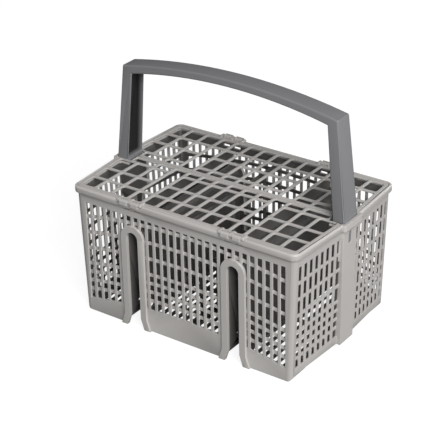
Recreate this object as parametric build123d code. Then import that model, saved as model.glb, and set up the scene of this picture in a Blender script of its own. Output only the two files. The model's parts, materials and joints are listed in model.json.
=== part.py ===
from build123d import *
import math
import os

os.makedirs("parts", exist_ok=True)

# A dishwasher cutlery basket with two hinged grid lids and a plug-in carrying handle.
# The origin is at the middle of the underside. +Z is up, the long walls face -Y and +Y,
# and the handle's legs stand at the ends on the X axis. All sizes are in millimetres.

# Basket walls
basket_height = 124.0
wall = 2.0
long_wall_y = 76.0
corner_x_top = 113.5
corner_x_bottom = 109.4
side_bulge = 4.3
corner_radius = 5.0
foot_edge = 1.2

# Rim
rim_lip = 2.5
rim_height = 6.0
rim_edge = 1.3

# Floor grid
floor_height = 8.0
floor_thickness = 2.0
floor_slot_width = 4.6
floor_rib_width = 4.0

# Lattice of the long walls. Its cross bars are arcs that are highest in the middle.
bar_pitch = 7.5
window_width = 4.6
cross_bar_height = 3.3
cross_bar_arc = 526.0
windows_per_run = 4
window_top_drop = 14.5
first_bar_drop = 18.3
tall_row_pitch = 15.6
tall_rows = 3
short_row_pitch = 8.65
short_rows = 3
last_row_height = 7.3

# Lattice of the four slanted side facets
side_window_width = 4.2
side_window_pitch = 7.7
side_lattice_margin = 5.2
side_row_rise = 2.0

# Two arched tunnels that run from wall to wall
tunnel_bars = 7
tunnel_width = 11.8
tunnel_crown_drop = 29.4
tunnel_crown_height = basket_height - tunnel_crown_drop
tunnel_wall = 2.0
flange_width = 6.3
flange_proud = 1.5
flare_height = 11.0
flare_reach = 3.8
tunnel_hole_radius = 2.6
tunnel_hole_depth = 14.0
tunnel_hole_height = 19.0

# Upright dividers
divider_thickness = 1.6
divider_top_drop = 8.5
divider_windows = 6

# Handle sockets in the middle of the short sides
strip_width = 21.0
strip_face_top = 118.5
strip_face_bottom = 117.0
strip_foot_gap = 5.7
socket_wall = 2.0
socket_depth = 31.0
collar_width = 28.0
collar_reach = 122.0
snap_hole_width = 4.5
snap_hole_height = 11.0
snap_hole_drop = 17.0

# Handle
leg_inner_foot = 107.0
leg_outer_foot = 118.8
leg_inner_head = 99.5
leg_outer_head = 109.5
leg_inner_rise = 83.0
leg_outer_rise = 89.3
bar_crown_rise = 100.5
bar_thickness = 7.0
handle_width_foot = 22.0
handle_width_head = 18.0
handle_edge = 1.0

# Lids
lid_thickness = 2.8
lid_gap = 0.5
seam_gap = 0.8
lid_bar = 4.0
lid_outer_cells = 3
hinge_frame = 4.5
deep_cell = 15.6
seam_cell = 5.3
seam_rail = 3.6
handle_notch_gap = 1.0

# Hinges
hinge_y = 77.6
hinge_rise = -0.2
pin_radius = 1.6
clip_clearance = 0.1
clip_outer_radius = 2.7
clip_width = 8.0
clip_spacing = 11.7
clip_mouth = 2.4
web_radius = 1.9
web_width = 2.4
clip_window_height = 2.6

# Clearances
seat_gap = 0.2
lid_recess_gap = 0.3
fit_gap = 0.2
moving_gap = 0.35

# Places worked out from the sizes above
floor_top = floor_height + floor_thickness
ledge_height = basket_height - lid_thickness - seat_gap
lid_underside = basket_height - lid_thickness
tunnel_x = tunnel_bars * bar_pitch
hinge_z = basket_height + hinge_rise
recess_floor = hinge_z - web_radius - moving_gap
clip_bore = pin_radius + clip_clearance
divider_top = basket_height - divider_top_drop
past = 1.0


def facet_frame(end, side, inset):
    """Plane of one slanted side facet, with its origin at the corner at rim height."""
    top = Vector(end * corner_x_top, side * long_wall_y, basket_height)
    apex = Vector(end * (corner_x_top + side_bulge), 0, basket_height)
    foot = Vector(end * corner_x_bottom, side * long_wall_y, 0)
    along = (apex - top).normalized()
    normal = along.cross(top - foot).normalized()
    if normal.X * end < 0:
        normal = normal * -1
    turn = -1 if end * side > 0 else 1
    return Plane(origin=top - normal * inset, x_dir=along * turn, z_dir=normal), turn


def tapered_block(inset, low, high, radius):
    """Six-sided block of the basket's outline, set in from the outer faces."""
    reach = corner_x_top + side_bulge + 4 * rim_lip
    depth = long_wall_y - inset
    block = Pos(0, 0, (low + high) / 2) * Box(2 * reach, 2 * depth, high - low)
    for end in (-1, 1):
        for side in (-1, 1):
            plane, _ = facet_frame(end, side, inset)
            block = split(block, bisect_by=plane, keep=Keep.BOTTOM)
    upright = [
        edge
        for edge in block.edges()
        if abs(abs(edge.center().Y) - depth) < 0.01 and edge.bounding_box().size.Z > 0.9 * (high - low)
    ]
    return fillet(upright, radius)


def front_prism(face, low, high):
    """Extrude a face drawn in the XZ plane between two Y values."""
    return extrude(Pos(0, low, 0) * face, amount=high - low, dir=(0, 1, 0))


def front_polygon(points):
    """Face in the XZ plane through (x, z) points."""
    wire = Polyline(*[(x, 0, z) for x, z in points], close=True)
    return make_face(wire)


def cross_bar_sag(x):
    """How far an arched cross bar has dropped at distance x from the middle."""
    reach = min(abs(x), 0.95 * cross_bar_arc)
    return cross_bar_arc - math.sqrt(cross_bar_arc**2 - reach**2)


def row_edges():
    """Top and bottom of each window row in the middle of a long wall, as heights."""
    drops = [first_bar_drop + tall_row_pitch * row for row in range(tall_rows + 1)]
    drops += [drops[-1] + short_row_pitch * row for row in range(1, short_rows + 1)]
    tops = [basket_height - drop - cross_bar_height / 2 for drop in drops]
    bottoms = [basket_height - drop + cross_bar_height / 2 for drop in drops]
    last = tops[-1] - last_row_height
    return list(zip([None] + tops, bottoms + [last]))


def lattice_columns():
    """Middle of each window column on one half of a long wall."""
    reach = corner_x_top - corner_radius
    count = int((reach - window_width / 2) / bar_pitch + 0.5)
    return [(column + 0.5) * bar_pitch for column in range(count)]


def arched_row(half_length, bottom, top):
    """Face of one window row. Its edges follow the arched cross bars in straight runs of a few windows."""
    run = windows_per_run * bar_pitch
    runs = int(half_length / run)
    stations = [-half_length] + [step * run for step in range(-runs, runs + 1)] + [half_length]
    low = [(x, bottom - cross_bar_sag(x)) for x in stations]
    if top is None:
        level = basket_height - window_top_drop
        high = [(half_length, level), (-half_length, level)]
    else:
        high = [(x, top - cross_bar_sag(x)) for x in stations[::-1]]
    return front_polygon(low + high)


def long_wall_cutters(side):
    """Cutters of one long wall: upright slots outside, arched rows of slots inside."""
    columns = lattice_columns()
    half_length = columns[-1] + window_width / 2
    rows = row_edges()
    middle_y = side * (long_wall_y - wall / 2)
    outside = sorted((middle_y, side * (long_wall_y + past)))
    inside = sorted((middle_y, side * (long_wall_y - wall - past)))
    lowest = rows[-1][1]
    straight_top = basket_height - window_top_drop
    cutters = [front_prism(arched_row(half_length, bottom, top), *inside) for top, bottom in rows]
    for column in columns:
        for x in (-column, column):
            left = x - window_width / 2
            right = x + window_width / 2
            slot = front_polygon(
                [
                    (left, lowest - cross_bar_sag(left)),
                    (right, lowest - cross_bar_sag(right)),
                    (right, straight_top),
                    (left, straight_top),
                ]
            )
            cutters.append(front_prism(slot, *outside))
    return cutters


def side_facet_cutters(end, side):
    """Cutters of one slanted facet, whose last column of windows ends at the socket strip."""
    plane, turn = facet_frame(end, side, 0)
    middle = plane.offset(-wall / 2)
    run = math.hypot(side_bulge, long_wall_y)
    start = side_lattice_margin
    finish = run - strip_width / 2
    count = int((finish - start - side_window_width) / side_window_pitch) + 1
    finish += wall / 2
    corner_sag = cross_bar_sag(corner_x_top)
    straight_top = basket_height - window_top_drop

    def height(level, s):
        if level is None:
            return straight_top - basket_height
        return level - corner_sag + side_row_rise * s / run - basket_height

    rows = row_edges()
    cutters = []
    for top, bottom in rows:
        corners = [
            (start, height(bottom, start)),
            (finish, height(bottom, finish)),
            (finish, height(top, finish)),
            (start, height(top, start)),
        ]
        outline = Polyline(*[(turn * s, z) for s, z in corners], close=True)
        cutters.append(extrude(middle * make_face(outline), amount=-wall, dir=plane.z_dir))
    lowest = rows[-1][1]
    for column in range(count):
        left = start + column * side_window_pitch
        right = finish if column == count - 1 else left + side_window_width
        corners = [
            (left, height(lowest, left)),
            (right, height(lowest, right)),
            (right, height(None, right)),
            (left, height(None, left)),
        ]
        outline = Polyline(*[(turn * s, z) for s, z in corners], close=True)
        cutters.append(extrude(middle * make_face(outline), amount=wall, dir=plane.z_dir))
    return cutters


def arch_face(half_width, crown, bottom, flare):
    """Arch-topped face in the XZ plane about x = 0, widening below the flare height."""
    spring = crown - half_width
    left = Polyline(
        (-half_width, 0, spring),
        (-half_width, 0, flare_height),
        (-half_width - flare, 0, bottom),
        (half_width + flare, 0, bottom),
        (half_width, 0, flare_height),
        (half_width, 0, spring),
    )
    arc = ThreePointArc((half_width, 0, spring), (0, 0, crown), (-half_width, 0, spring))
    return make_face(left + arc)


def foot_corner(end):
    """Cutter that rounds the long walls' lower corners and ends the short sides above the floor."""
    inner = corner_x_bottom - strip_foot_gap
    outer = corner_x_top + 2 * side_bulge
    flat = Polyline(
        (end * corner_x_bottom, 0, strip_foot_gap),
        (end * outer, 0, strip_foot_gap),
        (end * outer, 0, -past),
        (end * inner, 0, -past),
        (end * inner, 0, 0),
    )
    middle = strip_foot_gap * math.sqrt(0.5)
    on_arc = (end * (inner + middle), 0, strip_foot_gap - middle)
    arc = ThreePointArc((end * inner, 0, 0), on_arc, (end * corner_x_bottom, 0, strip_foot_gap))
    return front_prism(make_face(flat + arc), -long_wall_y - past, long_wall_y + past)


def make_basket():
    outer = tapered_block(0, 0, basket_height, corner_radius)
    outer = chamfer(outer.faces().sort_by(Axis.Z)[0].edges(), foot_edge)
    outer -= [foot_corner(end) for end in (-1, 1)]
    inside_radius = corner_radius - wall
    shell = outer - tapered_block(wall, floor_top, basket_height + past, inside_radius)
    shell -= tapered_block(wall, -past, floor_height, inside_radius)

    rim = tapered_block(-rim_lip, basket_height - rim_height, basket_height, corner_radius + rim_lip)
    rim = chamfer(rim.faces().sort_by(Axis.Z)[-1].edges(), rim_edge)
    rim -= tapered_block(wall, 0, basket_height + past, inside_radius)

    for side in (-1, 1):
        shell -= long_wall_cutters(side)
    for end in (-1, 1):
        for side in (-1, 1):
            shell -= side_facet_cutters(end, side)

    shell -= floor_slots()
    basket = shell + rim
    basket += [make_tunnels(), make_dividers()]
    for end in (-1, 1):
        basket += make_socket(end)
    basket -= tapered_block(lid_recess_gap, ledge_height, basket_height + past, corner_radius)
    basket -= tunnel_slots()
    for end in (-1, 1):
        basket -= socket_cuts(end)
    for x in (-tunnel_x, tunnel_x):
        for side in (-1, 1):
            basket -= hinge_cuts(x, side)
            basket += make_clips(x, side)
    return basket


def make_tunnels():
    """Tunnel arches with their proud flanges on both long walls."""
    parts = []
    inner_half = tunnel_width / 2
    for x in (-tunnel_x, tunnel_x):
        outer_arch = arch_face(inner_half + tunnel_wall, tunnel_crown_height + tunnel_wall, floor_height, 0)
        half_length = long_wall_y - wall / 2
        parts.append(Pos(x, 0, 0) * front_prism(outer_arch, -half_length, half_length))
        flange = arch_face(inner_half + flange_width, tunnel_crown_height + flange_width, 0, flare_reach)
        for side in (-1, 1):
            face_y = side * (long_wall_y + flange_proud)
            back_y = side * (long_wall_y - wall)
            low, high = min(face_y, back_y), max(face_y, back_y)
            parts.append(Pos(x, 0, 0) * front_prism(flange, low, high))
    return Part() + parts


def tunnel_slots():
    """The open passages through both long walls, and the round holes in their sides near each end."""
    slot = arch_face(tunnel_width / 2, tunnel_crown_height, -past, flare_reach)
    reach = long_wall_y + flange_proud + past
    cutters = []
    for x in (-tunnel_x, tunnel_x):
        cutters.append(Pos(x, 0, 0) * front_prism(slot, -reach, reach))
        for side in (-1, 1):
            y = side * (long_wall_y - tunnel_hole_depth)
            hole = Cylinder(tunnel_hole_radius, tunnel_width + 2 * tunnel_wall + 2 * past)
            cutters.append(Pos(x, y, tunnel_hole_height) * Rot(0, 90, 0) * hole)
    return cutters


def make_dividers():
    """Middle divider with its windows, and a plain rib on each tunnel's crown."""
    half_length = long_wall_y - wall / 2
    tall = divider_top - floor_height
    middle = Pos(0, 0, floor_height + tall / 2) * Box(divider_thickness, 2 * half_length, tall)
    pane = 2 * (long_wall_y - wall) / divider_windows
    pane_height = (divider_top - floor_top - 3 * lid_bar) / 2
    for row in range(2):
        z = floor_top + lid_bar + pane_height / 2 + row * (pane_height + lid_bar)
        for column in range(divider_windows):
            y = -long_wall_y + wall + (column + 0.5) * pane
            middle -= Pos(0, y, z) * Box(2 * divider_thickness, pane - lid_bar, pane_height)
    ribs = [middle]
    rib_foot = tunnel_crown_height + tunnel_wall / 2
    rise = divider_top - rib_foot
    for x in (-tunnel_x, tunnel_x):
        ribs.append(Pos(x, 0, rib_foot + rise / 2) * Box(divider_thickness, 2 * half_length, rise))
    return Part() + ribs


def floor_slots():
    """Long slots of the open floor, kept clear of the tunnels, dividers and sockets."""
    cutters = []
    slot_length = long_wall_y - wall - 1.5 * floor_rib_width
    limit = corner_x_bottom - wall - floor_rib_width
    keep_off = tunnel_width / 2 + tunnel_wall + floor_slot_width / 2
    for column in lattice_columns():
        if abs(column - tunnel_x) < keep_off or column + floor_slot_width / 2 > limit:
            continue
        for x in (-column, column):
            for side in (-1, 1):
                y = side * (slot_length + floor_rib_width) / 2
                z = (floor_height + floor_top) / 2
                cutters.append(Pos(x, y, z) * Box(floor_slot_width, slot_length, 2 * floor_thickness))
    return cutters


def strip_face(height):
    """Distance of a socket strip's outer face from the middle at a height."""
    share = (height - strip_foot_gap) / (basket_height - strip_foot_gap)
    return strip_face_bottom + (strip_face_top - strip_face_bottom) * share


def make_socket(end):
    """Proud outer strip, inner socket box and rim collar for one leg of the handle."""
    strip_back = corner_x_bottom + side_bulge - 2 * wall
    strip = front_polygon(
        [
            (end * strip_back, strip_foot_gap),
            (end * strip_face(strip_foot_gap), strip_foot_gap),
            (end * strip_face(ledge_height), ledge_height),
            (end * strip_back, ledge_height),
        ]
    )
    strip = front_prism(strip, -strip_width / 2, strip_width / 2)
    box_inner = leg_inner_foot - socket_wall
    box_outer = corner_x_top + side_bulge
    box_half = strip_width / 2 + socket_wall
    box_low = ledge_height - socket_depth - socket_wall
    box = Pos(end * (box_inner + box_outer) / 2, 0, (box_low + ledge_height) / 2) * Box(
        box_outer - box_inner, 2 * box_half, ledge_height - box_low
    )
    collar_inner = corner_x_top
    collar = Pos(end * (collar_inner + collar_reach) / 2, 0, basket_height - rim_height / 2) * Box(
        collar_reach - collar_inner, collar_width, rim_height
    )
    outer_edges = collar.edges().filter_by(Axis.Z).group_by(Axis.X)[-1 if end > 0 else 0]
    collar = fillet(outer_edges, rim_lip)
    box = box & tapered_block(wall / 2, box_low, ledge_height, corner_radius - wall / 2)
    return [strip, box, collar]


def foot_reach():
    """Inner and outer X of a handle foot inside its socket."""
    outer = strip_face(basket_height - socket_depth) - socket_wall - fit_gap
    return leg_inner_foot + 2 * fit_gap, outer


def socket_cuts(end):
    """Pocket for the foot, seat for the leg, snap hole and the strip's hollow back."""
    inner, outer = foot_reach()
    pocket_low = ledge_height - socket_depth
    foot_half = strip_width / 2 - socket_wall + fit_gap
    pocket = Pos(end * (inner + outer) / 2, 0, (pocket_low + basket_height) / 2) * Box(
        outer - inner + 2 * fit_gap, 2 * foot_half, basket_height - pocket_low
    )
    seat_inner = leg_inner_foot - fit_gap
    seat_outer = leg_outer_foot + fit_gap
    seat = Pos(end * (seat_inner + seat_outer) / 2, 0, ledge_height + rim_height / 2) * Box(
        seat_outer - seat_inner, handle_width_foot + 2 * fit_gap, rim_height
    )
    hole_plane = Plane(origin=(0, 0, basket_height - snap_hole_drop), x_dir=(0, 1, 0), z_dir=(1, 0, 0))
    slot = hole_plane * SlotCenterToCenter(snap_hole_height - snap_hole_width, snap_hole_width, rotation=90)
    hole = extrude(slot, amount=end * (strip_face_top + past)) - extrude(slot, amount=end * inner)
    hollow_low = strip_foot_gap - past
    hollow_high = pocket_low - 2 * socket_wall
    hollow_back = corner_x_bottom + side_bulge - 3 * wall
    hollow_face = strip_face(hollow_low) - socket_wall
    hollow = Pos(end * (hollow_back + hollow_face) / 2, 0, (hollow_low + hollow_high) / 2) * Box(
        hollow_face - hollow_back, strip_width - 2 * socket_wall, hollow_high - hollow_low
    )
    return [pocket, seat, hole, hollow]


def axis_prism(points, x, width):
    """Extrude an outline of (y, z) points along X about a middle x."""
    wire = Polyline(*[(x - width / 2, y, z) for y, z in points], close=True)
    return extrude(make_face(wire), amount=width, dir=(1, 0, 0))


def axis_cylinder(x, side, radius, width):
    """Cylinder on a hinge axis."""
    return Pos(x, side * hinge_y, hinge_z) * Rot(0, 90, 0) * Cylinder(radius, width)


def hinge_cuts(x, side):
    """Lowered rim at one hinge and the small window under each clip."""
    half = clip_spacing / 2 + clip_width / 2 + web_width + 2 * moving_gap
    low_y = long_wall_y - wall - past
    high_y = long_wall_y + 2 * rim_lip
    recess = Pos(x, side * (low_y + high_y) / 2, recess_floor + rim_height / 2) * Box(
        2 * half, high_y - low_y, rim_height
    )
    cuts = [recess]
    window_z = basket_height - rim_height - clip_window_height / 2
    for hand in (-1, 1):
        cuts.append(
            Pos(x + hand * clip_spacing / 2, side * long_wall_y, window_z)
            * Box(clip_width - wall / 2, 4 * wall, clip_window_height)
        )
    return cuts


def make_clips(x, side):
    """Two snap clips that hold the lid's pin, open at the top."""
    clips = []
    root_low = basket_height - rim_height / 2
    near = hinge_y - clip_outer_radius
    far = hinge_y + clip_outer_radius
    for hand in (-1, 1):
        clip_x = x + hand * clip_spacing / 2
        root = axis_prism(
            [(side * near, ledge_height), (side * far, root_low), (side * far, hinge_z), (side * near, hinge_z)],
            clip_x,
            clip_width,
        )
        mouth = Pos(clip_x, side * hinge_y, hinge_z + clip_outer_radius) * Box(
            2 * clip_width, clip_mouth, 2 * clip_outer_radius
        )
        clip = root + axis_cylinder(clip_x, side, clip_outer_radius, clip_width)
        clips.append(clip - axis_cylinder(clip_x, side, clip_bore, 2 * clip_width) - mouth)
    return clips


def lid_columns():
    """Middle of each bar of a lid on one half, from the middle outwards, then the outer edge."""
    inner = [2 * bar_pitch * step for step in range(int((tunnel_bars + 1) / 2) + 1)]
    outer_pitch = (corner_x_top - inner[-1]) / lid_outer_cells
    return inner + [inner[-1] + outer_pitch * step for step in range(1, lid_outer_cells)]


def lid_edge_x(y):
    """Outer edge of a lid on a slanted facet at a distance y from the seam."""
    return corner_x_top - lid_gap + side_bulge * (1 - abs(y) / long_wall_y)


def lid_rows():
    """Near and far y of each row of cells, from the seam to the hinge frame."""
    far = long_wall_y - lid_gap - hinge_frame
    rows = []
    for _ in range(2):
        rows.append((far - deep_cell, far))
        far -= deep_cell + lid_bar
    seam_near = seam_gap / 2 + seam_rail
    seam_far = seam_near + seam_cell
    rows.append((seam_far + lid_bar, far))
    rows.append((seam_near, seam_far))
    return rows[::-1]


def lid_cell(side, left, right, near, far):
    """Cutter for one cell; left and right are (x at near, x at far) pairs."""
    z = lid_underside - past
    corners = [(left[0], near), (right[0], near), (right[1], far), (left[1], far)]
    wire = Polyline(*[(x, side * y, z) for x, y in corners], close=True)
    return extrude(make_face(wire), amount=lid_thickness + 2 * past, dir=(0, 0, 1))


def lid_cells(side):
    """Cutters for all cells of a lid."""
    bars = lid_columns()
    seam_row, *deep_rows = lid_rows()
    half = lid_bar / 2
    slot_column = int((tunnel_bars - 1) / 2)
    cutters = []
    for hand in (-1, 1):
        for column, bar in enumerate(bars):
            left = bar + half
            if column + 1 < len(bars):
                right = [bars[column + 1] - half] * 8
            else:
                right = [lid_edge_x(y) - lid_bar for row in [seam_row] + deep_rows for y in row]
            rows = [seam_row] + deep_rows
            last = len(rows) - 1
            for index, (near, far) in enumerate(rows):
                if column == slot_column and index < last:
                    if index > 0:
                        continue
                    far = rows[last - 1][1]
                near_right, far_right = right[2 * index], right[2 * index + 1]
                if index == 0 and column == len(bars) - 2:
                    near_right = far_right = bars[-1] + half + lid_bar
                if index == 0 and column == len(bars) - 1:
                    continue
                corners_left = (hand * left, hand * left)
                corners_right = (hand * near_right, hand * far_right)
                cutters.append(lid_cell(side, corners_left, corners_right, near, far))
    return cutters


def hinge_web(x, width, side, near):
    """Web that carries the pin: round about the axis, flat on top where it lands when the lid is open."""
    shelf = long_wall_y - lid_gap
    web_low = hinge_z - web_radius
    web_top = hinge_z + web_radius
    start = x - width / 2
    run = Polyline(
        (start, side * hinge_y, web_top),
        (start, side * near, web_top),
        (start, side * near, lid_underside),
        (start, side * shelf, lid_underside),
        (start, side * shelf, web_low),
        (start, side * hinge_y, web_low),
    )
    outer = (start, side * (hinge_y + web_radius), hinge_z)
    nose = ThreePointArc((start, side * hinge_y, web_low), outer, (start, side * hinge_y, web_top))
    return extrude(make_face(run + nose), amount=width, dir=(1, 0, 0))


def lid_notch_x():
    """How near a lid comes to a leg of the handle, which leans in over the lid's seam edge as it opens."""
    swing = hinge_y - seam_gap / 2
    clear_of_leg = hinge_y - handle_width_foot / 2
    rise = math.sqrt(swing**2 - clear_of_leg**2) + hinge_rise
    lean = (leg_inner_foot - leg_inner_head) * rise / leg_inner_rise
    return leg_inner_foot - lean - moving_gap


def make_lid(side):
    """Grid lid on one side of the seam, with its hinge webs and pins."""
    plate = tapered_block(lid_gap, lid_underside, basket_height, corner_radius - lid_gap)
    depth = long_wall_y - seam_gap / 2
    reach = 2 * (corner_x_top + side_bulge)
    keep = Pos(0, side * (seam_gap / 2 + depth / 2), lid_underside) * Box(reach, depth, 4 * lid_thickness)
    lid = plate & keep
    notch_x = lid_notch_x()
    notch_width = handle_width_foot + 2 * handle_notch_gap
    for end in (-1, 1):
        lid -= Pos(end * (notch_x + collar_reach) / 2, 0, lid_underside) * Box(
            collar_reach - notch_x, notch_width, 4 * lid_thickness
        )
    lid -= lid_cells(side)
    notch_depth = 2 * (clip_outer_radius + moving_gap)
    web_near = hinge_y - clip_outer_radius - moving_gap - lid_bar / 2
    webs = []
    for x in (-tunnel_x, tunnel_x):
        for hand in (-1, 1):
            lid -= Pos(x + hand * clip_spacing / 2, side * hinge_y, lid_underside) * Box(
                clip_width + 2 * moving_gap, notch_depth, 4 * lid_thickness
            )
        end_web = clip_spacing / 2 + clip_width / 2 + moving_gap + web_width / 2
        middle_web = clip_spacing - clip_width - 2 * moving_gap
        for web_x, width in ((x - end_web, web_width), (x, middle_web), (x + end_web, web_width)):
            webs.append(hinge_web(web_x, width, side, web_near))
        webs.append(axis_cylinder(x, side, pin_radius, 2 * end_web))
    return lid + webs


def make_handle():
    """Arched carrying handle with a foot and a snap lug at the end of each leg."""
    foot_z = ledge_height
    outer_head = basket_height + leg_outer_rise
    inner_head = basket_height + leg_inner_rise
    crown = basket_height + bar_crown_rise
    outline = Polyline(
        (-leg_outer_head, 0, outer_head),
        (-leg_outer_foot, 0, basket_height),
        (-leg_outer_foot, 0, foot_z),
        (-leg_inner_foot, 0, foot_z),
        (-leg_inner_foot, 0, basket_height),
        (-leg_inner_head, 0, inner_head),
    )
    under = ThreePointArc(
        (-leg_inner_head, 0, inner_head), (0, 0, crown - bar_thickness), (leg_inner_head, 0, inner_head)
    )
    over = ThreePointArc((-leg_outer_head, 0, outer_head), (0, 0, crown), (leg_outer_head, 0, outer_head))
    half = handle_width_foot / 2
    bow = front_prism(make_face(outline + under + mirror(outline, Plane.YZ) + over), -half, half)
    head_half = handle_width_head / 2
    side_view = axis_prism(
        [(-half, foot_z), (half, foot_z), (head_half, crown), (-head_half, crown)],
        0,
        3 * leg_outer_foot,
    )
    bow = bow & side_view
    outline_edges = []
    for flank in (bow.faces().sort_by(Axis.Y)[0], bow.faces().sort_by(Axis.Y)[-1]):
        outline_edges += [edge for edge in flank.edges() if edge.bounding_box().max.Z > foot_z + 1]
    bow = chamfer(outline_edges, handle_edge)
    inner, outer = foot_reach()
    foot_low = foot_z - socket_depth + fit_gap
    foot_half = strip_width / 2 - socket_wall
    lug_plane = Plane(origin=(0, 0, basket_height - snap_hole_drop), x_dir=(0, 1, 0), z_dir=(1, 0, 0))
    lug_height = snap_hole_height - 2 * fit_gap
    lug_width = snap_hole_width - 2 * fit_gap
    lug = lug_plane * SlotCenterToCenter(lug_height - lug_width, lug_width, rotation=90)
    for end in (-1, 1):
        bow += Pos(end * (inner + outer) / 2, 0, (foot_low + foot_z) / 2) * Box(
            outer - inner, 2 * foot_half, foot_z - foot_low
        )
        reach_out = strip_face(basket_height - snap_hole_drop) - socket_wall / 4
        bow += extrude(lug, amount=end * reach_out) - extrude(lug, amount=end * inner)
    return bow


pieces = {
    "basket": make_basket(),
    "front_lid": make_lid(-1),
    "rear_lid": make_lid(1),
    "handle": make_handle(),
}
for name, piece in pieces.items():
    export_step(piece, f"parts/{name}.step")
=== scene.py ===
# %% [markdown]
# # A dishwasher cutlery basket
#
# The real object is four plastic mouldings: a light grey lattice basket, two grid lids that snap
# into clips on its rim, and a dark grey handle that plugs into its ends. They could be modelled again
# here from nothing, but then they could drift from the packed model. So the packed model is loaded
# as a fixed frame, and each piece made here sits exactly where that frame says.

# %% Load the frame
import json
import math

import bmesh
import bpy
from mathutils import Matrix, Vector
from mathutils.geometry import delaunay_2d_cdt

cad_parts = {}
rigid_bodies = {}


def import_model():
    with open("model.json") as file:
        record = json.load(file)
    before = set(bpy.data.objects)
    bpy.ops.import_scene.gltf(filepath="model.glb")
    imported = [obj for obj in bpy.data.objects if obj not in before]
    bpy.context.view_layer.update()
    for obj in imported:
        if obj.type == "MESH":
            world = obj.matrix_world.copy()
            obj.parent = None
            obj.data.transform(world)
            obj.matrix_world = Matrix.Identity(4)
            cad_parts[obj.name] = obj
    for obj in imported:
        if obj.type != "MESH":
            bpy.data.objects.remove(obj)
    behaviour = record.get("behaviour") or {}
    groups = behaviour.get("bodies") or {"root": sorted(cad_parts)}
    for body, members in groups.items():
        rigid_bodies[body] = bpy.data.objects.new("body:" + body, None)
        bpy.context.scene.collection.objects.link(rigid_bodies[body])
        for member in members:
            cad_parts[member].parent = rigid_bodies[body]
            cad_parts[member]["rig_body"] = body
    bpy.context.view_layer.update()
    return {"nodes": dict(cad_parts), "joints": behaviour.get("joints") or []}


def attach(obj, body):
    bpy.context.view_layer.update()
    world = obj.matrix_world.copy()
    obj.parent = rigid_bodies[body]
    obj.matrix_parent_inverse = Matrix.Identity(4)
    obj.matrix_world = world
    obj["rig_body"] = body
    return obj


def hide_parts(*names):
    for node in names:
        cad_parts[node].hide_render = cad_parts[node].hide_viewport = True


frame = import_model()
print("nodes", sorted(frame["nodes"]))

# %% [markdown]
# ## The camera
#
# A camera could be placed by eye, but lattice bars show every degree of error. The straight lines of
# the rim, the tunnels and the handle in the photograph give the camera's direction, its distance and
# a small roll, so those are written here as values. Azimuth runs from the front, round to the right.

# %% Where the photograph was taken from
VIEW_AZIMUTH = math.radians(35.8)
VIEW_ELEVATION = math.radians(27.79)
VIEW_ROLL = math.radians(-1.15)
VIEW_DISTANCE = 1.2987


def view_axes():
    """Right, up and back of the camera, as directions in the frame."""
    across = math.cos(VIEW_ELEVATION)
    back_x = math.sin(VIEW_AZIMUTH) * across
    back_y = -math.cos(VIEW_AZIMUTH) * across
    back = Vector((back_x, back_y, math.sin(VIEW_ELEVATION)))
    level = Vector((math.cos(VIEW_AZIMUTH), math.sin(VIEW_AZIMUTH), 0))
    over = back.cross(level)
    right = level * math.cos(VIEW_ROLL) + over * math.sin(VIEW_ROLL)
    up = over * math.cos(VIEW_ROLL) - level * math.sin(VIEW_ROLL)
    return right, up, back


print("camera looks from", [round(v, 3) for v in view_axes()[2]])

# %% [markdown]
# The lens comes from the photograph too. Its focal length was found in pixels, and a camera in
# Blender wants it in millimetres of its sensor. The point that the camera aims at, on the level of
# the rim, isn't in the middle of the picture, so the camera stands that much to the left and lower.
# The column straight ahead of the lens is a little off the middle too, which is a shift of the lens.

# %% The camera
SENSOR_MM = 36.0
IMAGE_PIXELS = 435.0
FOCAL_PIXELS = 1500.0
CENTRE_PIXEL_X = 218.2
RIM_HEIGHT = 0.124
AIM = Vector((-0.0013, 0, RIM_HEIGHT))
AIM_FROM_MIDDLE_RIGHT = 0.0116
AIM_FROM_MIDDLE_UP = 0.0296


def photo_camera():
    """Camera that sees the frame as the photograph does."""
    right, up, back = view_axes()
    place = AIM + back * VIEW_DISTANCE - right * AIM_FROM_MIDDLE_RIGHT - up * AIM_FROM_MIDDLE_UP
    data = bpy.data.cameras.new("photo_camera")
    data.sensor_width = SENSOR_MM
    data.lens = FOCAL_PIXELS / IMAGE_PIXELS * SENSOR_MM
    data.shift_x = (IMAGE_PIXELS / 2 - CENTRE_PIXEL_X) / IMAGE_PIXELS
    camera = bpy.data.objects.new("photo_camera", data)
    turn = Matrix((right, up, back)).transposed().to_4x4()
    camera.matrix_world = Matrix.Translation(place) @ turn
    bpy.context.scene.collection.objects.link(camera)
    bpy.context.scene.camera = camera
    return camera


camera = photo_camera()
print("camera at", [round(v, 3) for v in camera.location], "lens", round(camera.data.lens, 1))

# %% [markdown]
# ## Shader sums in plain Python
#
# A material is a graph of small sums. Written as nodes they are hard to read, so this class wraps
# one socket and gives it Python's operators: `0.4 + 0.1 * grain` then adds its own Math nodes.


# %% A socket with operators
class Wire:
    """One output of a shader graph, usable in sums with numbers and other wires."""

    def __init__(self, graph, socket):
        self.graph = graph
        self.socket = socket

    def beside(self, output):
        """Another output of the same node."""
        return Wire(self.graph, self.socket.node.outputs[output])

    def _math(self, operation, *values, clamp=False):
        settings = {"operation": operation, "use_clamp": clamp}
        return self.graph.node("ShaderNodeMath", settings, dict(enumerate(values)))

    def __add__(self, other):
        return self._math("ADD", self, other)

    __radd__ = __add__

    def __sub__(self, other):
        return self._math("SUBTRACT", self, other)

    def __rsub__(self, other):
        return self._math("SUBTRACT", other, self)

    def __mul__(self, other):
        return self._math("MULTIPLY", self, other)

    __rmul__ = __mul__

    def __abs__(self):
        return self._math("ABSOLUTE", self)

    def lesser(self, other):
        """The smaller of two values."""
        return self._math("MINIMUM", self, other)

    def clamped(self):
        """The same value, kept between nought and one."""
        return self._math("ADD", self, 0.0, clamp=True)


print("Wire:", Wire.__doc__)

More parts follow.
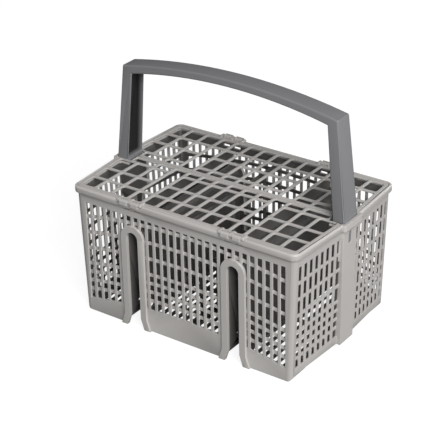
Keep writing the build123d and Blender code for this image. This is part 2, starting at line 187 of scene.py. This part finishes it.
# %% [markdown]
# Every other node comes from one method. It takes the node's type, its settings and the values or
# links of its sockets, in that order, because a setting can change which sockets a node has. Colours
# go through a Mix node, because a Math node would turn them grey.

# %% A material's graph
MIX_COLOUR_A = 6
MIX_COLOUR_B = 7
MIX_COLOUR_RESULT = 2


class Graph:
    """The node tree of one new material."""

    def __init__(self, name):
        self.material = bpy.data.materials.new(name)
        self.material.use_nodes = True
        self.tree = self.material.node_tree
        self.shader = self.tree.nodes["Principled BSDF"]

    def set(self, socket, value):
        """Link a wire to a socket, or write a value into it."""
        if isinstance(value, Wire):
            self.tree.links.new(value.socket, socket)
        else:
            socket.default_value = value

    def node(self, kind, settings=None, inputs=None, output=0):
        """Add a node, apply its settings first, then set or link its sockets."""
        made = self.tree.nodes.new(kind)
        for name, value in (settings or {}).items():
            setattr(made, name, value)
        for name, value in (inputs or {}).items():
            self.set(made.inputs[name], value)
        return Wire(self, made.outputs[output])

    def mixed(self, share, first, second):
        """A colour that goes from the first to the second as the share goes from nought to one."""
        colours = {"Factor": share, MIX_COLOUR_A: first, MIX_COLOUR_B: second}
        return self.node("ShaderNodeMix", {"data_type": "RGBA"}, colours, output=MIX_COLOUR_RESULT)

    def finish(self, **sockets):
        """Feed the Principled shader; names use _ for the spaces of its sockets."""
        for name, value in sockets.items():
            self.set(self.shader.inputs[name.replace("_", " ")], value)
        print(self.material.name, "has", len(self.tree.nodes), "nodes")
        return self.material


print("Graph:", Graph.__doc__)

# %% [markdown]
# ## Painted shade in the hollows
#
# Behind its bars the real basket looks nearly black, and so does the open inner side of its handle.
# Harder lamps would give that too, but with hard shadows on the outer faces. So the lamps stay soft
# and shade is painted into the colour of the hollows. How deep a point lies behind the walls is
# worked out from the basket's own sizes and not from the view, so the painted shade looks the same
# from every side.

# %% Where the shade is painted
WALL_Y = 0.0760
SIDE_X_LOW = 0.1094
SIDE_LEAN = 0.0331
SIDE_BULGE = 0.0043
LEDGE_Z = 0.1210
SKIN_DEPTH = 0.0013
SKIN_FADE = 0.0006


def painted_shade_behind_the_walls(graph):
    """Share of painted shade: one inside the basket, nought on its outer skin."""
    place = graph.node("ShaderNodeTexCoord", output="Object")
    x = graph.node("ShaderNodeSeparateXYZ", inputs={"Vector": place}, output="X")
    y = x.beside("Y")
    z = x.beside("Z")
    from_long_wall = WALL_Y - abs(y)
    from_side = SIDE_X_LOW + SIDE_LEAN * z + (SIDE_BULGE / WALL_Y) * from_long_wall - abs(x)
    from_top = LEDGE_Z - z
    depth = from_long_wall.lesser(from_side).lesser(from_top)
    return ((depth - SKIN_DEPTH) * (1 / SKIN_FADE)).clamped()


def painted_shade_in_the_channel(graph):
    """Share of painted shade: one on the faces that the handle's mesh marks as its channel, which is
    sunk further down.
    """
    return graph.node("ShaderNodeAttribute", {"attribute_name": "channel"}, output="Fac")


print("full shade from", round(1000 * (SKIN_DEPTH + SKIN_FADE), 2), "mm behind a wall's face")

# %% [markdown]
# ## Moulded plastic
#
# Both colours are the same kind of plastic with a fine spark-eroded grain. A flat colour would look
# like card, and a picture of plastic would have seams. Here noise at real scale, in the object's own
# coordinates, gives a very faint cloudiness of the pigment and a fine grain. The grain changes the
# roughness a little and is the height of a bump only hundredths of a millimetre deep.

# %% The plastic
PLASTIC_IOR = 1.49
CLOUD_SCALE = 22.0
CLOUD_DETAIL = 3.0
CLOUD_SHARE = 0.03
GRAIN_SCALE = 2600.0
GRAIN_DETAIL = 2.0
GRAIN_DEPTH = 0.00004
GRAIN_STRENGTH = 0.35
GRAIN_ROUGHNESS = 0.12
BLACK = (0, 0, 0, 1)


def noise(graph, scale, detail):
    """Soft noise in the object's own coordinates, from nought to one."""
    place = graph.node("ShaderNodeTexCoord", output="Object")
    inputs = {"Vector": place, "Scale": scale, "Detail": detail}
    return graph.node("ShaderNodeTexNoise", inputs=inputs)


def moulded_plastic(name, colour, roughness, painted_shade_mask, painted_shade_strength):
    """Semi-matt moulded plastic with a fine grain, and shade painted into its hollows."""
    graph = Graph(name)
    darker = tuple(channel * (1 - CLOUD_SHARE) for channel in colour)
    paler = tuple(channel * (1 + CLOUD_SHARE) for channel in colour)
    pigment = graph.mixed(noise(graph, CLOUD_SCALE, CLOUD_DETAIL), (*darker, 1), (*paler, 1))
    grain = noise(graph, GRAIN_SCALE, GRAIN_DETAIL)
    relief = {"Strength": GRAIN_STRENGTH, "Distance": GRAIN_DEPTH, "Height": grain}
    return graph.finish(
        # The base colour goes towards black where the mask is set: shade painted into the hollows.
        Base_Color=graph.mixed(painted_shade_strength * painted_shade_mask(graph), pigment, BLACK),
        Roughness=roughness + GRAIN_ROUGHNESS * grain,
        Normal=graph.node("ShaderNodeBump", inputs=relief),
        IOR=PLASTIC_IOR,
    )


# %% [markdown]
# The basket and its lids are a warm light grey, and the handle is a cooler dark grey that is a touch
# smoother. The shade painted into the hollows keeps a little of their own colour, the handle's least of
# all.

# %% The two plastics
LIGHT_GREY = (0.415, 0.400, 0.385)
LIGHT_ROUGHNESS = 0.40
# Share of black painted into the basket's hollows as shade.
LIGHT_PAINTED_SHADE = 0.78
DARK_GREY = (0.172, 0.173, 0.179)
DARK_ROUGHNESS = 0.38
# Share of black painted into the handle's channel as shade.
DARK_PAINTED_SHADE = 0.93

plastics = {
    "light_grey_plastic": moulded_plastic(
        "light_grey_plastic", LIGHT_GREY, LIGHT_ROUGHNESS, painted_shade_behind_the_walls, LIGHT_PAINTED_SHADE
    ),
    "dark_grey_plastic": moulded_plastic(
        "dark_grey_plastic", DARK_GREY, DARK_ROUGHNESS, painted_shade_in_the_channel, DARK_PAINTED_SHADE
    ),
}

# %% [markdown]
# ## Soft moulded edges
#
# No moulding has a knife edge: every bar of the lattice ends in a radius of a few tenths of a
# millimetre, and it is this radius that catches the light. Merging the frame's flat triangles into
# large faces first would be tidy, but a face can't have a window in it, so they stay as they are. A
# bevel on the sharp edges alone, with hardened normals, leaves the flats flat and rounds the rest.

# %% Shading for flats and curves
SHARP_ANGLE = math.radians(32)


def shade(mesh):
    """Smooth shading that breaks at every sharp edge."""
    mesh.polygons.foreach_set("use_smooth", [True] * len(mesh.polygons))
    mesh.set_sharp_from_angle(angle=SHARP_ANGLE)


def round_edges(piece, radius, segments):
    """Rounded sharp edges, as a modifier."""
    bevel = piece.modifiers.new("edge_radius", "BEVEL")
    bevel.width = radius
    bevel.segments = segments
    bevel.limit_method = "ANGLE"
    bevel.angle_limit = SHARP_ANGLE
    bevel.use_clamp_overlap = False
    bevel.harden_normals = True


print("edges that turn more than", round(math.degrees(SHARP_ANGLE)), "degrees are rounded")

# %% [markdown]
# ## From a shape to a piece
#
# A shape becomes a piece in the same way each time: a mesh with its plastic, shading and rounded
# edges. Parenting it by hand would be easy to get wrong, so the frame's own calls place it. It rides
# on its node's body and replaces the plain node.


# %% Make a piece
def settle(piece, node):
    """Put a piece on its node's body, in its node's place."""
    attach(piece, frame["nodes"][node]["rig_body"])
    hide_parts(node)


def triangles(piece):
    """How many triangles a piece has with its modifiers."""
    made = piece.evaluated_get(bpy.context.evaluated_depsgraph_get())
    mesh = made.to_mesh()
    mesh.calc_loop_triangles()
    count = len(mesh.loop_triangles)
    made.to_mesh_clear()
    return count


def make_piece(node, shape, slot, radius, segments):
    """Turn a shape into the piece that stands in for a node, and free the shape."""
    mesh = bpy.data.meshes.new(f"{node}_moulding")
    shape.to_mesh(mesh)
    shape.free()
    mesh.materials.append(plastics[slot])
    shade(mesh)
    piece = bpy.data.objects.new(f"{node}_moulding", mesh)
    bpy.context.scene.collection.objects.link(piece)
    round_edges(piece, radius, segments)
    settle(piece, node)
    return piece


# %% [markdown]
# ## The basket
#
# The basket is one stiff moulding with hundreds of windows, and its form is already right in the
# frame. Building it again would gain nothing, so a copy of the frame's mesh is used. The frame
# splits its corners for flat shading; they are merged first, because a bevel needs joined faces.

# %% Make the basket
SAME_PLACE = 1e-6
BASKET_EDGE = 0.0003
BASKET_EDGE_STEPS = 2


def frame_shape(node):
    """The frame's mesh of a node as a shape to work on, with its split corners merged."""
    shape = bmesh.new()
    shape.from_mesh(frame["nodes"][node].data)
    bmesh.ops.remove_doubles(shape, verts=shape.verts, dist=SAME_PLACE)
    return shape


basket_shape = frame_shape("basket")
basket = make_piece("basket", basket_shape, "light_grey_plastic", BASKET_EDGE, BASKET_EDGE_STEPS)
print(basket.name, "has", triangles(basket), "triangles")

# %% [markdown]
# ## The handle and its channel
#
# The real handle is no solid bow. Its inner side is an open channel between thin walls, which saves
# plastic and lets the moulding cool evenly. Cutting it with a second, smaller bow would mean
# modelling that bow as well. Here the faces that look inwards are inset by the wall and sunk, so the
# channel follows the arch by itself. It starts just over the rim, where the legs come into view.

# %% Sink the channel
CHANNEL_FOOT_Z = 0.1248
CHANNEL_WALL = 0.0013
CHANNEL_DEPTH = 0.0050
BOW_MIDDLE = Vector((0, 0, 0.150))
FLANK_LIMIT = 0.3


def sink_channel(shape):
    """Sink the inner side of the bow between thin walls and mark the sunk faces for painted shade."""
    everything = [*shape.verts, *shape.edges, *shape.faces]
    bmesh.ops.bisect_plane(shape, geom=everything, plane_co=(0, 0, CHANNEL_FOOT_Z), plane_no=(0, 0, 1))
    inner = []
    for face in shape.faces:
        middle = face.calc_center_median()
        looks_in = face.normal.dot(BOW_MIDDLE - middle) > 0 and abs(face.normal.y) < FLANK_LIMIT
        if looks_in and middle.z > CHANNEL_FOOT_Z:
            inner.append(face)
    bmesh.ops.inset_region(
        shape, faces=inner, thickness=CHANNEL_WALL, depth=-CHANNEL_DEPTH, use_even_offset=True
    )
    # This mark tells the handle's plastic where to paint shade into its colour.
    mark = shape.verts.layers.float.new("channel")
    for face in inner:
        for vert in face.verts:
            vert[mark] = 1.0
    print("channel faces", len(inner))


# %% [markdown]
# The sunk shape becomes a piece as the basket's does. Its edges get a slightly larger radius,
# because a handle is held in the hand, and one more segment, because its edges are long and plain.

# %% Make the handle
HANDLE_EDGE = 0.0004
HANDLE_EDGE_STEPS = 3

handle_shape = frame_shape("handle")
sink_channel(handle_shape)
handle = make_piece("handle", handle_shape, "dark_grey_plastic", HANDLE_EDGE, HANDLE_EDGE_STEPS)
print(handle.name, "has", triangles(handle), "triangles")

# %% [markdown]
# ## The lids
#
# A lid is a flat grid of slim bars whose cells have rounded corners. Cutting the holes with booleans
# would leave ragged corners, and a filled 2D curve can lose whole rows of cells. So the
# outlines are read from the flat underside of the frame's lid: an edge between a flat face and
# another face is on an outline, and following such edges from corner to corner closes each one.

# %% Outlines of a flat underside
LOOKS_DOWN = -0.99
ONE_LEVEL = 1e-5


def outline_steps(shape, low):
    """For each corner on an outline of the underside, the corner that follows it."""
    flat = set()
    for face in shape.faces:
        if face.normal.z < LOOKS_DOWN and face.calc_center_median().z < low + ONE_LEVEL:
            flat.add(face)
    steps = {}
    for face in flat:
        for loop in face.loops:
            if sum(other in flat for other in loop.edge.link_faces) == 1:
                steps[loop.vert] = loop.link_loop_next.vert
    return steps


def underside_outlines(node):
    """Closed outlines of a node's flat underside, as lists of points, and its height."""
    shape = frame_shape(node)
    low = min(vert.co.z for vert in shape.verts)
    steps = outline_steps(shape, low)
    outlines = []
    while steps:
        start, corner = steps.popitem()
        points = [start.co.copy()]
        while corner is not start:
            points.append(corner.co.copy())
            corner = steps.pop(corner)
        outlines.append(points)
    shape.free()
    print(node, "outlines", len(outlines), "at height", round(low, 4))
    return outlines, low


# %% [markdown]
# ## Slimmer bars
#
# On the real lid the bars are slimmer than in the frame, so each cell grows a little. Scaling a cell
# would move long cells more than short ones, so each side moves outwards by the same distance
# instead. The frame along the hinges stays whole, because the webs of the hinges hold on to it.

# %% Widen a cell
BAR_RELIEF = 0.0008
LEAST_SPREAD = 0.3


def enclosed_area(points):
    """Signed area of an outline, positive where it runs anticlockwise."""
    return sum(a.x * b.y - a.y * b.x for a, b in zip(points, points[1:] + points[:1])) / 2


def shifted(points, distance):
    """The same outline with every side moved to the left of its direction."""
    moved = []
    for index, corner in enumerate(points):
        before = (corner - points[index - 1]).normalized()
        after = (points[(index + 1) % len(points)] - corner).normalized()
        left_before = Vector((-before.y, before.x, 0))
        left_after = Vector((-after.y, after.x, 0))
        spread = max(LEAST_SPREAD, 1 + left_before.dot(left_after))
        moved.append(corner + (left_before + left_after) * (distance / spread))
    return moved


def widened(cell, far_y):
    """A cell with slimmer bars round it, but no nearer to the hinges than far_y."""
    wide = shifted(cell, -math.copysign(BAR_RELIEF, enclosed_area(cell)))
    for point in wide:
        point.y = max(-far_y, min(far_y, point.y))
    return wide


TRIAL_SIDE = 0.010
trial_cell = [Vector((x * TRIAL_SIDE, y * TRIAL_SIDE, 0)) for x, y in ((0, 0), (1, 0), (1, 1), (0, 1))]
trial_wide = widened(trial_cell, 2 * TRIAL_SIDE)
print("a 10 mm cell becomes", round(1000 * (trial_wide[1] - trial_wide[0]).length, 2), "mm wide")

# %% [markdown]
# ## Rounded cells
#
# A mould's cutter leaves a small radius in the corners of each cell. A bevel could round them, but
# it would have to tell these upright edges from all others. In the outline it is easy: each sharp
# corner becomes a short curve that leaves its two sides and is pulled towards the corner.

# %% Round the corners of an outline
CELL_RADIUS = 0.0018
CORNER_STEPS = 4
NO_TURN = 0.01
SOFT_TURN = 0.35
MOST_OF_A_SIDE = 0.45


def rounded(points, radius):
    """The same outline with curves for its sharp corners and without points on straight runs."""
    smooth = []
    for index, corner in enumerate(points):
        before = points[index - 1] - corner
        after = points[(index + 1) % len(points)] - corner
        turn = math.pi - before.angle(after)
        if turn < NO_TURN:
            continue
        if turn < SOFT_TURN:
            smooth.append(corner)
            continue
        longest = MOST_OF_A_SIDE * min(before.length, after.length)
        reach = min(radius * math.tan(turn / 2), longest)
        first = corner + before.normalized() * reach
        last = corner + after.normalized() * reach
        for step in range(CORNER_STEPS + 1):
            share = step / CORNER_STEPS
            pull = 2 * share * (1 - share)
            smooth.append(first * (1 - share) ** 2 + last * share**2 + corner * pull)
    return smooth


print("a rounded square cell has", len(rounded(trial_cell, CELL_RADIUS)), "points")

# %% [markdown]
# ## A plate with holes
#
# A face in Blender can't have a hole, so the plate is filled with triangles. A Delaunay fill keeps
# every outline as an edge and makes well-shaped triangles, but it fills the cells as well. Whether a
# triangle is plastic is then found by counting the lines between its middle and the far right: an
# odd number means inside the border and in no cell.


# %% Tell plastic from holes
def in_plastic(place, outlines):
    """Whether a point is inside the border and in no hole, by counting the lines to its right."""
    crossings = 0
    for outline in outlines:
        for index, end in enumerate(outline):
            start = outline[index - 1]
            if (start.y > place.y) != (end.y > place.y):
                share = (place.y - start.y) / (end.y - start.y)
                crossings += start.x + share * (end.x - start.x) > place.x
    return crossings % 2 == 1


trial_middle = sum(trial_cell, Vector()) / len(trial_cell)
print("between border and cell:", in_plastic(trial_wide[0] / 2, [trial_wide, trial_cell]))
print("in the cell:", in_plastic(trial_middle, [trial_wide, trial_cell]))

# %% [markdown]
# The plate then gets the same triangles twice, above and below, and a wall of upright faces along
# each outline. Triangles that lie in a cell are left out, with the points that only they used.

# %% Fill between outlines
MERGE_DISTANCE = 1e-7
ALL_TRIANGLES = 0


def add_plate(shape, outlines, low, high):
    """Add a flat plate with holes, filled with triangles between its outlines."""
    places = []
    edges = []
    for outline in outlines:
        first = len(places)
        places += [Vector((point.x, point.y)) for point in outline]
        edges += [(first + index, first + (index + 1) % len(outline)) for index in range(len(outline))]
    filled = delaunay_2d_cdt(places, edges, [], ALL_TRIANGLES, MERGE_DISTANCE)
    flat, faces = filled[0], filled[2]
    under = [shape.verts.new((place.x, place.y, low)) for place in flat]
    over = [shape.verts.new((place.x, place.y, high)) for place in flat]
    for face in faces:
        middle = sum((flat[index] for index in face), Vector((0, 0))) / len(face)
        if in_plastic(middle, outlines):
            shape.faces.new([over[index] for index in face])
            shape.faces.new([under[index] for index in reversed(face)])
    for first, last in edges:
        shape.faces.new((over[first], over[last], under[last], under[first]))
    loose = [vert for vert in shape.verts if not vert.link_faces]
    bmesh.ops.delete(shape, geom=loose, context="VERTS")


# %% [markdown]
# ## Hinge webs and pins
#
# Each lid hangs on two short pins over the tunnels. Three small webs carry each pin across the rim,
# one between the two clips and one beyond each clip, and they are round where they turn. Cylinders
# and blocks could be joined for that. One side view, drawn as an outline and given its width, has
# fewer faces and no seams. The hinge's axis is read from the frame's own joint.

# %% Sizes of the hinges
PIN_X = 0.0525
PIN_RADIUS = 0.0016
CLIP_SPACING = 0.0117
CLIP_WIDTH = 0.0080
CLIP_GAP = 0.00035
WEB_WIDTH = 0.0024
WEB_RADIUS = 0.0019
WEB_REACH = 0.0051
WEB_LOW = 0.1213
LID_GAP = 0.0005
ROUND_STEPS = 10
END_WEB_X = CLIP_SPACING / 2 + CLIP_WIDTH / 2 + CLIP_GAP + WEB_WIDTH / 2
MIDDLE_WEB_WIDTH = CLIP_SPACING - CLIP_WIDTH - 2 * CLIP_GAP
WEBS = ((END_WEB_X, WEB_WIDTH), (0, MIDDLE_WEB_WIDTH), (-END_WEB_X, WEB_WIDTH))


def hinge_axis(node):
    """Side of the basket that a lid's hinge is on, and how far out and how high its axis is."""
    _, y, z = next(joint["pos_m"] for joint in frame["joints"] if joint["child"] == node)
    return math.copysign(1, y), abs(y), z


print("front hinge axis", hinge_axis("front_lid"), "webs at", [round(x, 4) for x, width in WEBS])

# %% [markdown]
# The outlines are lists of (y, z) points, with round stretches from a sine and a cosine. Both lids
# share them: the side is -1 at the front and 1 at the rear, and turns the outline round.


# %% Side views of webs and pins
def web_outline(side, out, height):
    """Side view of a hinge web: round about the pin, and flat where it runs under the lid."""
    nose = []
    for step in range(ROUND_STEPS + 1):
        angle = -math.pi / 2 + math.pi * step / ROUND_STEPS
        nose.append((side * (out + WEB_RADIUS * math.cos(angle)), height + WEB_RADIUS * math.sin(angle)))
    near = side * (out - WEB_REACH)
    shelf = side * (WALL_Y - LID_GAP)
    back = [(near, height + WEB_RADIUS), (near, WEB_LOW), (shelf, WEB_LOW)]
    return nose + back + [(shelf, height - WEB_RADIUS)]


def pin_outline(side, out, height):
    """Round section of the pin."""
    points = []
    for step in range(2 * ROUND_STEPS):
        turn = math.pi * step / ROUND_STEPS
        points.append((side * (out + PIN_RADIUS * math.cos(turn)), height + PIN_RADIUS * math.sin(turn)))
    return points


def add_prism(shape, outline, x, width):
    """Extrude an outline of (y, z) points along X."""
    rings = []
    for end in (x - width / 2, x + width / 2):
        rings.append([shape.verts.new((end, y, z)) for y, z in outline])
    shape.faces.new(rings[0])
    shape.faces.new(rings[1][::-1])
    for index in range(len(outline)):
        after = (index + 1) % len(outline)
        shape.faces.new((rings[0][after], rings[0][index], rings[1][index], rings[1][after]))


print("a web's side view has", len(web_outline(*hinge_axis("front_lid"))), "corners")

# %% [markdown]
# ## Both lids
#
# The lids could be mirrored, but each has its own node with its own outlines. So one function makes
# a lid from its node alone. The grid is thinner than the frame's plate and keeps its top, so the lid
# still lies level with the rim.

# %% Make both lids
LID_THICKNESS = 0.0028
GRID_THICKNESS = 0.0019
LID_EDGE = 0.0004
LID_EDGE_STEPS = 2


def lid_outlines(outlines):
    """The border and the widened cells of a lid, the border first, all with rounded corners."""
    border, *cells = sorted(outlines, key=lambda points: -abs(enclosed_area(points)))
    far_y = max(abs(point.y) for cell in cells for point in cell)
    wide_cells = [widened(cell, far_y) for cell in cells]
    return [rounded(points, CELL_RADIUS) for points in [border, *wide_cells]]


def make_lid(node):
    """A lid's grid with its webs and pins."""
    outlines, low = underside_outlines(node)
    top = low + LID_THICKNESS
    shape = bmesh.new()
    add_plate(shape, lid_outlines(outlines), top - GRID_THICKNESS, top)
    axis = hinge_axis(node)
    for hinge_x in (-PIN_X, PIN_X):
        for offset, width in WEBS:
            add_prism(shape, web_outline(*axis), hinge_x + offset, width)
        add_prism(shape, pin_outline(*axis), hinge_x, 2 * END_WEB_X)
    bmesh.ops.recalc_face_normals(shape, faces=shape.faces)
    return make_piece(node, shape, "light_grey_plastic", LID_EDGE, LID_EDGE_STEPS)


for lid_node in ("front_lid", "rear_lid"):
    lid = make_lid(lid_node)
    print(lid.name, "has", triangles(lid), "triangles")

# %% [markdown]
# ## The floor
#
# The photograph has a white ground with a soft shadow. A white floor would throw light up into the
# basket, whose inside is dark in the photograph. So the floor is grey to every other ray, and glows
# white only where the camera sees it straight, which leaves the basket's shadow on it.

# %% A floor that looks white
FLOOR_REACH = 6.0
FLOOR_GREY = (0.18, 0.18, 0.18, 1)
FLOOR_ROUGHNESS = 0.9
FLOOR_GLOW = (0.88, 0.88, 0.88, 1)


def studio_floor():
    """A wide floor under the basket, part of the studio and not of the object."""
    corners = [(x * FLOOR_REACH, y * FLOOR_REACH, 0) for x, y in ((-1, -1), (1, -1), (1, 1), (-1, 1))]
    mesh = bpy.data.meshes.new("floor")
    mesh.from_pydata(corners, [], [(0, 1, 2, 3)])
    graph = Graph("floor_white")
    seen = graph.node("ShaderNodeLightPath", output="Is Camera Ray")
    glow = graph.mixed(seen, BLACK, FLOOR_GLOW)
    mesh.materials.append(
        graph.finish(
            Base_Color=FLOOR_GREY, Roughness=FLOOR_ROUGHNESS, Emission_Color=glow, Emission_Strength=1
        )
    )
    floor = bpy.data.objects.new("floor", mesh)
    bpy.context.scene.collection.objects.link(floor)
    return floor


floor = studio_floor()
print(floor.name, "is", 2 * FLOOR_REACH, "m wide")

# %% [markdown]
# ## The lamps
#
# The photograph looks lit by one large soft lamp on the right. Two weak low lamps keep the far sides
# from going black. One lamp right behind the basket would do for both sides, but light from straight
# across the camera puts a glare on the handle, so they stand well off that line. A little even light
# from the world fills the rest.


# %% Lamps and world
def soft_lamp(name, place, size, watts):
    """Square area lamp aimed at the middle of the basket's rim."""
    data = bpy.data.lights.new(name, "AREA")
    data.shape = "SQUARE"
    data.size = size
    data.energy = watts
    lamp = bpy.data.objects.new(name, data)
    aim = Vector((0, 0, RIM_HEIGHT)) - Vector(place)
    lamp.location = place
    lamp.rotation_mode = "QUATERNION"
    lamp.rotation_quaternion = aim.to_track_quat("-Z", "Y")
    bpy.context.scene.collection.objects.link(lamp)
    print(name, "is", round(aim.length, 2), "m away")


def even_world(strength):
    """The same white light from every direction."""
    world = bpy.data.worlds.new("studio_world")
    world.use_nodes = True
    sky = world.node_tree.nodes["Background"]
    sky.inputs["Color"].default_value = (1, 1, 1, 1)
    sky.inputs["Strength"].default_value = strength
    return world


soft_lamp("key_lamp", place=(1.35, -1.0, 1.2), size=1.1, watts=57)
soft_lamp("rear_lamp", place=(0.9, 2.2, 0.5), size=0.8, watts=17)
soft_lamp("left_lamp", place=(-2.3, -0.1, 0.5), size=0.8, watts=11)
bpy.context.scene.world = even_world(strength=0.16)
bpy.context.scene.view_settings.view_transform = "Standard"

# %% [markdown]
# ## The box to fill
#
# The dressed object has to fill the same box as the packed model.
